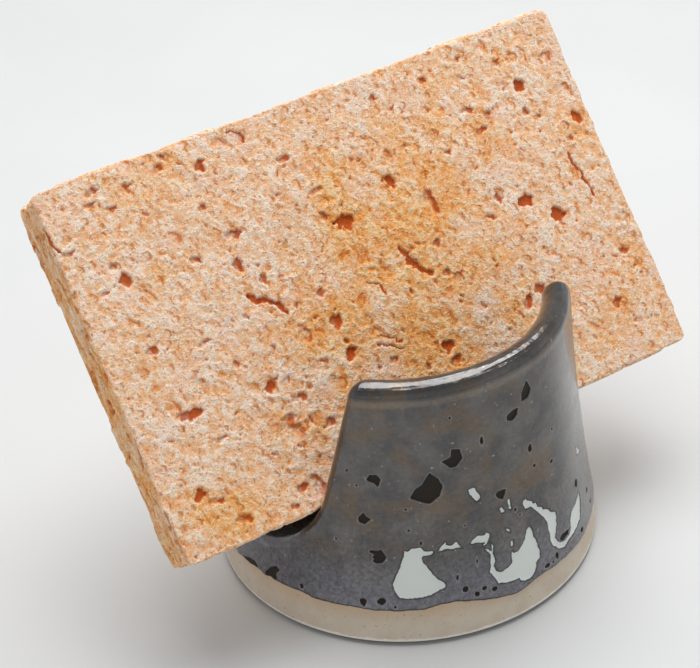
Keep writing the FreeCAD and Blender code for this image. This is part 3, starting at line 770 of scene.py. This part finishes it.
def sponge_cells(points, long_axis):
    """The sponge's cells: rows of relief and hole depth in millimetres, and of how much is crest and how much
    is pores' rust and painted rim shade.
    """
    places = bent_places(points, long_axis)
    near, next_near, token = scattered(places, LARGE_CELL, 11)
    beyond = scattered(places + np.array((*SHADED_RIM_SIDE * 0.3, 0)), LARGE_CELL, 11)[0]
    shown = smooth(0.3, 0.6, noise(points, 6.0, 13))
    rim = np.exp(-((next_near - near) / 0.42) ** 2) * shown
    bowl = smooth(1.6, 0.3, near) * (token > 0.5) * shown
    # Crescents sink on the shaded side of the cells' rims; the dark colour they add is partly painted shade
    crescent = np.exp(-((near - 0.7 - 0.6 * token) / 0.2) ** 2) * smooth(0.02, 0.24, beyond - near)
    crescent *= smooth(0.35, 0.5, token) * smooth(0.35, 0.6, noise(points, 1.8, 14))
    near, next_near, small_token = scattered(places, SMALL_CELL, 17)
    small_rim = np.exp(-((next_near - near) / 0.24) ** 2)
    small_bowl = smooth(0.65, 0.2, near) * (small_token > 0.45)
    fine = fractal(places, 0.95, 19, 2) - 0.5
    relief = 0.09 * rim - 0.13 * bowl + 0.07 * small_rim - 0.08 * small_bowl
    relief += 0.14 * fine - 0.14 * crescent - 0.22
    # Low crest gives the hollows' darker colours, which are partly painted shade
    crest = 0.5 + 0.2 * rim + 0.15 * small_rim - 0.25 * bowl - 0.2 * small_bowl + 0.9 * fine - 0.5 * crescent
    near, _, token = scattered(places, PINHOLE_SPACING, 23)
    tiny = smooth(1.0, 0.5, near / (0.2 + 0.32 * token ** 2)) * (token > 0.4)
    return np.stack((relief, 0.22 * tiny, crest, np.maximum(0.7 * tiny, 0.55 * crescent)))


def sponge_relief(points, outward):
    """The relief in millimetres, 0 at its highest, and how much is pores' rust and painted rim shade, crest,
    worn and on a side.
    """
    rows = sponge_cells(points, FACE_GRAIN)
    sides = smooth(0.35, 0.8, np.abs(outward[:, :2]))
    for axis, grain in ((0, END_GRAIN), (1, EDGE_GRAIN)):
        there = sides[:, axis] > 0
        share = sides[there, axis]
        rows[:, there] += share * (sponge_cells(points[there], grain) - rows[:, there])
        near, _, token = scattered(bent_places(points[there], grain), SLIT_SPACING, 31)
        slits = share * smooth(1.1, 0.7, near / (0.22 + 0.6 * token)) * (token > 0.35)
        raise_to(rows[DEEP_ROW], there, 0.5 * slits)
        raise_to(rows[PORE_AND_SHADE_ROW], there, 0.75 * slits)
    relief, deep, crest, pore = rows
    aside = sides.max(axis=1)
    torn = smooth(0.52, 0.60, noise(points, 7.0, 41)) + 0.7 * smooth(0.56, 0.64, noise(points, 2.2, 43))
    relief += 0.5 * (fractal(points, 9.0, 15) - 0.75) - 0.45 * aside * torn

    near, _, token = scattered(bent_places(points, FACE_GRAIN), BACK_HOLE_SPACING, 27)
    front = outward[:, 2] > 0.5
    holes = smooth(1.1, 0.75, near / (0.5 + 1.3 * token)) * (token > 0.3) * ~front * (1 - aside)
    deep = np.maximum(deep, holes * (0.5 + 0.6 * token))
    pore = np.maximum(pore, holes)
    front_deep, front_pore = front_holes(points[front])
    raise_to(deep, front, front_deep)
    raise_to(pore, front, front_pore)
    turning = 4 * outward[:, 2] ** 2 * (1 - outward[:, 2] ** 2)
    relief = (relief - deep) * (1 - 0.4 * turning)

    worn = np.maximum(0.62 * sides[:, 0], 0.35 * sides[:, 1])
    for along, up, reach, strength in WARM:
        away = np.hypot(points[:, 0] - along, points[:, 1] - up) / reach
        worn = np.maximum(worn, strength * np.exp(-away ** 2))
    worn = np.clip(worn + (fractal(points, 6.0, 29, 4) - 0.5) * (1.3 - 0.7 * aside), 0, 1)
    return np.clip(relief, -DEEPEST_HOLE, 0), pore, np.clip(crest, 0, 1), worn, aside


def make_sponge():
    """The sponge block with its surface, leaning where the CAD sponge leans."""
    points, outward, faces = rounded_block(SPONGE_SIZE, SPONGE_GRID, SPONGE_CORNER, SPONGE_EDGE)
    relief, pore, crest, worn, aside = sponge_relief(points, outward)
    placed = points + outward * relief[:, None]
    low, high = (np.array(corner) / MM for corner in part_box("sponge"))
    up = np.array(SPONGE_UP)
    facing = np.array((0, -math.cos(SPONGE_LEAN), math.sin(SPONGE_LEAN)))
    right = np.array((1.0, 0, 0))
    along = right * math.cos(SPONGE_TILT) + up * math.sin(SPONGE_TILT)
    width = up * math.cos(SPONGE_TILT) - right * math.sin(SPONGE_TILT)
    centre = (low + high) / 2 + right * SPONGE_SHIFT + up * SPONGE_LIFT
    seated = centre + placed[:, :1] * along + placed[:, 1:2] * width + placed[:, 2:] * facing
    sponge = new_object("cellulose_sponge_block", seated, faces)
    set_values(sponge, pore=pore, crest=crest, worn=worn, aside=aside)
    return sponge


# Materials

class Look:
    """One shader tree with short ways to add nodes; an input is a value or the output that feeds it."""

    def __init__(self, tree):
        self.tree = tree

    def feed(self, socket, value):
        """Link an output to an input, or set it; a colour gets its alpha here."""
        if isinstance(value, bpy.types.NodeSocket):
            self.tree.links.new(value, socket)
        elif socket.type == "RGBA":
            socket.default_value = (*value, 1.0)
        else:
            socket.default_value = value

    def node(self, kind, settings=None, **inputs):
        """A node with its settings and inputs, which go by name, or as i0, i1 and so on by place."""
        made = self.tree.nodes.new("ShaderNode" + kind)
        for name, value in (settings or {}).items():
            setattr(made, name, value)
        for name, value in inputs.items():
            by_place = name[0] == "i" and name[1:].isdigit()
            self.feed(made.inputs[int(name[1:]) if by_place else name], value)
        return made

    def stored(self, name):
        """A number stored on the mesh."""
        return self.node("Attribute", {"attribute_name": name}).outputs["Fac"]

    def places(self):
        """Places on the piece, in millimetres."""
        return self.vector("MULTIPLY", self.node("TexCoord").outputs["Object"], (1 / MM, 1 / MM, 1 / MM))

    def height_of(self, places):
        """The height of places."""
        return self.node("SeparateXYZ", Vector=places).outputs["Z"]

    def cloud(self, places, size, detail=3.0, roughness=0.55):
        """Noise from 0 to 1 with bumps about size millimetres apart."""
        made = self.node("TexNoise", Vector=places, Scale=1 / size, Detail=detail, Roughness=roughness)
        return made.outputs["Fac"]

    def math(self, operation, first, second=0.0, third=0.0):
        """Arithmetic on numbers."""
        return self.node("Math", {"operation": operation}, i0=first, i1=second, i2=third).outputs[0]

    def plus(self, first, second):
        """A sum of numbers."""
        return self.math("ADD", first, second)

    def times(self, first, second):
        """A product of numbers."""
        return self.math("MULTIPLY", first, second)

    def times_plus(self, value, factor, rest):
        """A number times a factor, and the rest added."""
        return self.math("MULTIPLY_ADD", value, factor, rest)

    def larger(self, first, second):
        """The larger of two numbers."""
        return self.math("MAXIMUM", first, second)

    def vector(self, operation, first, second=(0, 0, 0)):
        """Arithmetic on places and directions."""
        made = self.node("VectorMath", {"operation": operation}, i0=first, i1=second)
        return made.outputs["Value" if operation in ("LENGTH", "DOT_PRODUCT") else "Vector"]

    def scaled(self, vector, factor):
        """A place, a direction or a colour times a number."""
        return self.node("VectorMath", {"operation": "SCALE"}, i0=vector, Scale=factor).outputs["Vector"]

    def step(self, value, low, high, first=0.0, last=1.0):
        """A soft step from first at low to last at high."""
        soft = {"interpolation_type": "SMOOTHSTEP"}
        return self.node("MapRange", soft, i0=value, i1=low, i2=high, i3=first, i4=last).outputs[0]

    def band(self, value, low, full, falling, high):
        """1 from full to falling, and 0 below low and above high."""
        return self.times(self.step(value, low, full), self.step(value, high, falling))

    def blend(self, share, first, second):
        """A mix of two colours."""
        return self.node("Mix", {"data_type": "RGBA"}, i0=share, i6=first, i7=second).outputs[2]

    def mix(self, share, first, second):
        """A mix of two numbers."""
        return self.node("Mix", {"data_type": "FLOAT"}, i0=share, i2=first, i3=second).outputs[0]

    def bump(self, height, distance):
        """Fine relief, its height from 0 to 1 over a distance in millimetres."""
        return self.node("Bump", Height=height, Distance=distance * MM, Strength=1.0).outputs["Normal"]

    def surface(self, **inputs):
        """Feed the main shader's inputs, named with underscores for spaces."""
        shader = self.tree.nodes["Principled BSDF"]
        for name, value in inputs.items():
            self.feed(shader.inputs[name.replace("_", " ")], value)


def new_material(name):
    """A material and the look of its node tree."""
    made = bpy.data.materials.new(name)
    made.use_nodes = True
    return made, Look(made.node_tree)


# Colours of the glaze, with a painted sheen for its grazing edges, and how far its marks' edges blur in
# millimetres
GLAZE_GREYS = ((0.105, 0.102, 0.104), (0.152, 0.145, 0.139))
BROWN_CLOUD = (0.175, 0.13, 0.09)
LOW_GREY = (0.20, 0.197, 0.222)
LIP_RING = (0.36, 0.29, 0.22)
GLAZE_SPECK = (0.40, 0.36, 0.31)
PIT_RIM = (0.34, 0.34, 0.35)
WHITE_RIM = (0.05, 0.05, 0.055)
GLAZE_END = (0.035, 0.03, 0.028)
PAINTED_GRAZING_SHEEN = (0.35, 0.35, 0.345)
CRAWLED_WHITE = (0.74, 0.79, 0.76)
PIT_BROWN = (0.022, 0.016, 0.011)
MARK_BLUR = 0.06


def glaze_grey(look, places, height):
    """Grey with brown clouds, paler low on the wall, with specks and a faint ring under the lip."""
    grey = look.blend(look.step(look.cloud(places, 6.0), 0.35, 0.65), *GLAZE_GREYS)
    brown = look.step(look.cloud(places, 9.0, 5.0, 0.65), 0.46, 0.64)
    brown = look.times(brown, look.step(height, 13.0, 24.0))
    grey = look.blend(look.times(brown, 0.65), grey, BROWN_CLOUD)
    grey = look.blend(look.step(height, 20.0, 9.0, 0.0, 0.7), grey, LOW_GREY)
    ring = look.band(height, 48.6, 49.4, 49.8, 50.4)
    grey = look.blend(look.times(ring, 0.22), grey, LIP_RING)
    mottle = look.step(look.cloud(places, 0.8, 4.0, 0.7), 0.3, 0.7, -1.0, 1.0)
    mottle = look.times_plus(mottle, look.step(height, 10.0, 30.0, 0.28, 0.10), 1.0)
    specks = look.step(look.cloud(places, 0.75, 1.0), 0.72, 0.78, 0.0, 0.7)
    return look.blend(specks, look.scaled(grey, mottle), GLAZE_SPECK)


def glaze_relief(look, places, height):
    """Turning lines on the lip and a faint unevenness everywhere."""
    radius = look.vector("LENGTH", look.vector("MULTIPLY", places, (1, 1, 0)))
    around = look.node("CombineXYZ", X=radius, Y=height).outputs[0]
    around = look.vector("ADD", around, look.scaled(places, 0.04))
    lines = look.times(look.cloud(around, 0.45), look.step(height, 49.8, 51.2, 0.0, 3.0))
    return look.plus(lines, look.cloud(places, 1.1))


def glaze_material():
    """Satin gunmetal with brown clouds, matt dark pits and glossy white where the top coat crawled back."""
    made, look = new_material("gunmetal_glaze")
    places = look.places()
    height = look.height_of(places)
    fine = look.times_plus(look.cloud(places, 0.5), 0.2, -0.1)
    white_depth = look.plus(look.stored("white"), fine)
    pit_depth = look.plus(look.stored("pit"), fine)
    white = look.step(white_depth, -MARK_BLUR, MARK_BLUR)
    pit = look.step(pit_depth, -MARK_BLUR, MARK_BLUR)
    white_rim = look.band(white_depth, -0.4, -0.2, -0.05, 0.05)
    pit_rim = look.band(pit_depth, -0.3, -0.15, -0.1, 0.05)

    colour = glaze_grey(look, places, height)
    colour = look.blend(look.times(pit_rim, 0.3), colour, PIT_RIM)
    colour = look.blend(look.times(white_rim, 0.65), colour, WHITE_RIM)
    colour = look.blend(look.step(look.stored("glazed"), 0.75, 0.35, 0.0, 0.75), colour, GLAZE_END)
    # Painted reflection: the colour is lightened towards the grazing edges as a sheen
    facing = look.node("LayerWeight", Blend=0.5).outputs["Facing"]
    colour = look.blend(look.step(facing, 0.5, 0.85, 0.0, 0.85), colour, PAINTED_GRAZING_SHEEN)
    colour = look.blend(white, colour, CRAWLED_WHITE)
    colour = look.blend(pit, colour, PIT_BROWN)
    metal = look.step(look.larger(white, pit), 0.0, 1.0, 0.9, 0.0)
    satin = look.step(look.cloud(places, 5.0), 0.3, 0.7, 0.22, 0.32)
    satin = look.times(satin, look.step(height, 49.5, 51.0, 1.0, 0.6))
    rough = look.mix(pit, look.mix(white, satin, 0.2), 0.5)
    shine = look.step(pit, 0.0, 1.0, 0.5, 0.2)
    look.surface(Base_Color=colour, Metallic=metal, Roughness=rough, Specular_IOR_Level=shine,
                 Normal=look.bump(glaze_relief(look, places, height), 0.02))
    return made


# Colours of the clay, with a painted highlight at the foot's edge and painted shade under it
CLAY_CREAMS = ((0.62, 0.53, 0.42), (0.67, 0.59, 0.48))
CLAY_FLASH = (0.62, 0.42, 0.25)
CLAY_SPECK = (0.36, 0.26, 0.18)
CLAY_EDGE_HIGHLIGHT = (0.95, 0.91, 0.83)
CLAY_PAINTED_SHADE = (0.12, 0.10, 0.08)


def clay_material():
    """Unglazed cream stoneware, flashed with orange under the glaze, with a painted highlight along its
    foot's edge and painted shade below it.
    """
    made, look = new_material("bare_stoneware")
    places = look.places()
    height = look.height_of(places)
    colour = look.blend(look.step(look.cloud(places, 5.0), 0.35, 0.65), *CLAY_CREAMS)
    flash = look.plus(height, look.times_plus(look.cloud(places, 7.0), 3.0, -1.5))
    colour = look.blend(look.step(flash, 4.2, 7.4, 0.0, 0.6), colour, CLAY_FLASH)
    specks = look.step(look.cloud(places, 0.6, 1.0), 0.68, 0.74, 0.0, 0.6)
    colour = look.blend(specks, colour, CLAY_SPECK)
    # Painted highlight: a light band along the foot's bottom edge
    ragged = look.times_plus(look.cloud(places, 2.0), 0.8, look.plus(height, -0.4))
    edge = look.band(ragged, 0.75, 0.95, 1.25, 1.7)
    colour = look.blend(look.times(edge, 0.9), colour, CLAY_EDGE_HIGHLIGHT)
    # Painted shade: the clay darkens at the very bottom, where the foot meets the floor
    colour = look.blend(look.step(height, 0.95, 0.8, 0.0, 0.9), colour, CLAY_PAINTED_SHADE)
    rough = look.step(look.cloud(places, 2.0), 0.3, 0.7, 0.5, 0.7)
    look.surface(Base_Color=colour, Roughness=rough, Normal=look.bump(look.cloud(places, 0.35, 4.0), 0.05))
    return made


def cell_arcs(look, places, size, radius):
    """Curved edges round cells of a size in millimetres: dark ones to the right, as painted shade on brown,
    and light ones to the left, as painted highlight.
    """
    cells = look.node("TexVoronoi", Vector=places, Scale=1 / size)
    offset = look.vector("SUBTRACT", places, cells.outputs["Position"])
    side = look.vector("DOT_PRODUCT", look.vector("NORMALIZE", offset), SHADED_ARC_SIDE)
    chance = look.node("SeparateColor", Color=cells.outputs["Color"]).outputs
    reach = look.times_plus(chance["Green"], radius, radius * 0.5)
    past = look.math("ABSOLUTE", look.math("SUBTRACT", look.vector("LENGTH", offset), reach))
    ring = look.step(past, 0.35 * radius + 0.11, 0.02)
    ring = look.times(ring, look.step(chance["Red"], 0.3, 0.4))
    dark = look.times(ring, look.step(side, 0.1, 0.75))
    light = look.times(ring, look.step(side, -0.1, -0.75))
    return dark, light


# The sponge's colours from low to high in its relief, where it is pale and where it is worn; the low ones are
# partly its own tan and partly painted shade in the hollows
SPONGE_PALE = ((0.85, 0.385, 0.15), (0.955, 0.585, 0.34), (0.985, 0.80, 0.65))
SPONGE_WORN = ((0.81, 0.265, 0.04), (0.95, 0.45, 0.14), (0.99, 0.665, 0.37))
SPONGE_PINK = (0.94, 0.68, 0.56)
ARC_BROWN_SHADE = (0.64, 0.215, 0.04)
FLECK_BROWN = (0.56, 0.19, 0.045)
RUST_AND_RIM_SHADE = (0.60, 0.10, 0.006)
SPONGE_SOFT = (1.0, 0.45, 0.2)


def sponge_flecks(look, places):
    """Small dark flecks scattered over the sponge."""
    spots = look.node("TexVoronoi", Vector=places, Scale=1 / 0.8).outputs
    chance = look.node("SeparateColor", Color=spots["Color"]).outputs["Red"]
    return look.times(look.step(spots["Distance"], 0.30, 0.16), look.step(chance, 0.45, 0.5))


def sponge_threads(look, places, bent):
    """Fine threads between the cells, in patches."""
    walls = look.node("TexVoronoi", {"feature": "DISTANCE_TO_EDGE"}, Vector=bent, Scale=1.0)
    shown = look.step(look.cloud(places, 1.6), 0.42, 0.58)
    return look.times(look.step(walls.outputs["Distance"], 0.14, 0.03), shown)


def sponge_material():
    """Dry pale peach cellulose: cream on the crests, tan between them that is partly painted shade, rust in
    the pores, and brown arcs with painted shade on one side and painted highlight on the other.
    """
    made, look = new_material("cellulose_sponge")
    places = look.places()
    pore, crest, worn, aside = (look.stored(name) for name in ("pore", "crest", "worn", "aside"))
    squeeze = look.times(look.vector("DOT_PRODUCT", places, SPONGE_UP), -0.72)
    streaks = look.vector("ADD", places, look.scaled(SPONGE_UP, squeeze))
    coarse = look.node("TexNoise", Vector=places, Scale=1 / 0.8, Detail=4.0, Roughness=0.7, Distortion=1.0)
    coarse = look.mix(aside, coarse.outputs["Fac"], look.cloud(streaks, 0.8, 4.0, 0.7))
    gashes = look.times(look.step(look.cloud(streaks, 1.1, 2.0), 0.60, 0.70), aside)
    grain = look.cloud(places, 0.4, 3.0, 0.6)
    bend = look.node("TexNoise", Vector=places, Scale=1 / 0.9, Detail=2.0).outputs["Color"]
    bent = look.vector("ADD", places, look.scaled(bend, 0.9))
    bent = look.vector("MULTIPLY", bent, (0.7, 1.0, 1.0))
    wide_dark, wide_light = cell_arcs(look, bent, 2.2, 0.62)
    small_dark, small_light = cell_arcs(look, bent, 1.05, 0.3)
    # Brown arcs, darkened on their right as painted shade, with the ends' orange gashes
    dark = look.larger(look.larger(wide_dark, look.times(small_dark, 0.7)), gashes)
    light = look.larger(wide_light, look.times(small_light, 0.7))
    threads = sponge_threads(look, places, bent)

    # The level runs from hollows to crests; the hollows' darker, more orange colours are partly painted shade
    level = look.plus(look.times_plus(coarse, 1.1, -0.55), -0.4)
    level = look.plus(crest, look.times_plus(grain, 0.8, level))
    # The light arcs lift the level as a painted highlight
    level = look.times_plus(light, 0.35, level)
    level = look.times_plus(threads, 0.25, level)
    middle = look.step(level, 0.1, 0.5)
    top = look.step(level, 0.5, 0.95)
    pale, warm = (look.blend(top, look.blend(middle, *colours[:2]), colours[2])
                  for colours in (SPONGE_PALE, SPONGE_WORN))
    pale = look.blend(look.step(look.cloud(places, 8.0), 0.48, 0.66, 0.0, 0.3), pale, SPONGE_PINK)
    colour = look.blend(look.step(worn, 0.1, 0.9), pale, warm)
    # Painted shade on the brown arcs' right side, and the gashes' own brown
    colour = look.blend(look.times(dark, 0.85), colour, ARC_BROWN_SHADE)
    colour = look.blend(look.times(sponge_flecks(look, places), 0.55), colour, FLECK_BROWN)
    # Rust in the pores, and painted shade on the dips' right rims
    colour = look.blend(look.step(pore, 0.05, 0.9, 0.0, 0.95), colour, RUST_AND_RIM_SHADE)
    colour = look.scaled(colour, look.step(look.cloud(places, 0.28, 2.0), 0.3, 0.7, 0.83, 1.06))
    relief = look.times_plus(grain, 0.8, look.times(coarse, 0.35))
    relief = look.times_plus(threads, 0.35, look.times_plus(dark, -0.35, relief))
    look.surface(Base_Color=colour, Roughness=0.85, Specular_IOR_Level=0.25, Subsurface_Weight=0.3,
                 Subsurface_Radius=SPONGE_SOFT, Subsurface_Scale=0.35 * MM, Normal=look.bump(relief, 0.20))
    return made


FLOOR_GREYS = ((0.69, 0.70, 0.70), (0.71, 0.72, 0.72))


def floor_material():
    """A plain pale tabletop."""
    made, look = new_material("pale_floor")
    share = look.step(look.cloud(look.places(), 60.0), 0.3, 0.7)
    look.surface(Base_Color=look.blend(share, *FLOOR_GREYS), Roughness=0.6)
    return made


def wear(piece, material):
    """Give a piece one material."""
    piece.data.materials.clear()
    piece.data.materials.append(material)


# The pieces

glaze = glaze_skin()
wear(glaze, glaze_material())
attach(glaze, "holder")
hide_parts("gunmetal_glaze")

wear(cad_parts["stoneware_body"], clay_material())

sponge = make_sponge()
wear(sponge, sponge_material())
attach(sponge, "loose_sponge")
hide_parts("sponge")


# The stage, the light and the camera: places in metres, angles in degrees, the lens in millimetres
ROOM_BACK = (0.4, 0.92, 0)
CAMERA_PLACE = (-0.156399, -0.259063, 0.248524)
CAMERA_YAW = -29.49246
CAMERA_PITCH = 55.87349
CAMERA_ROLL = -4.11141
CAMERA_LENS = 104.178


def add_light(name, place, target, size, power):
    """A square lamp that faces a target; places in metres."""
    lamp = bpy.data.lights.new(name, "AREA")
    lamp.size = size
    lamp.energy = power
    made = bpy.data.objects.new(name, lamp)
    made.location = place
    made.rotation_euler = (Vector(place) - Vector(target)).to_track_quat("Z", "Y").to_euler()
    bpy.context.scene.collection.objects.link(made)


def make_floor(reach, drop):
    """A large flat floor just under the foot."""
    corners = np.array(((-1, -1, 0), (1, -1, 0), (1, 1, 0), (-1, 1, 0)), float) * reach
    floor = new_object("floor", corners - np.array((0, 0, drop)), np.array(((0, 1, 2, 3),)))
    wear(floor, floor_material())


def light_world(sides, overhead):
    """Soft light from a room that is pale round the sides, dimmer overhead and a little dimmer in front."""
    world = bpy.data.worlds.new("soft_room")
    world.use_nodes = True
    look = Look(world.node_tree)
    direction = look.node("TexCoord").outputs["Generated"]
    strength = look.step(look.height_of(direction), 0.1, 0.9, sides, overhead)
    ahead = look.step(look.vector("DOT_PRODUCT", direction, ROOM_BACK), -0.7, 0.2, 0.85, 1.0)
    back = look.tree.nodes["Background"]
    look.feed(back.inputs["Color"], (1, 1, 1))
    look.feed(back.inputs["Strength"], look.times(strength, ahead))
    bpy.context.scene.world = world


def place_camera():
    """The photograph's camera, fitted to the outlines of the foot, the lip and the sponge."""
    lens = bpy.data.cameras.new("camera")
    lens.sensor_fit = "HORIZONTAL"
    lens.sensor_width = 36.0
    lens.lens = CAMERA_LENS
    lens.clip_start = 0.01
    made = bpy.data.objects.new("camera", lens)
    aim = Matrix.Translation(CAMERA_PLACE)
    for angle, axis in ((CAMERA_YAW, "Z"), (CAMERA_PITCH, "X"), (CAMERA_ROLL, "Z")):
        aim = aim @ Matrix.Rotation(math.radians(angle), 4, axis)
    made.matrix_world = aim
    bpy.context.scene.collection.objects.link(made)
    bpy.context.scene.camera = made


make_floor(reach=3000.0, drop=0.02)
light_world(sides=0.70, overhead=0.39)
add_light("overhead", place=(0.10, 0.12, 0.57), target=(0, 0, 0.03), size=0.50, power=3.35)
place_camera()
bpy.context.scene.view_settings.view_transform = "Standard"
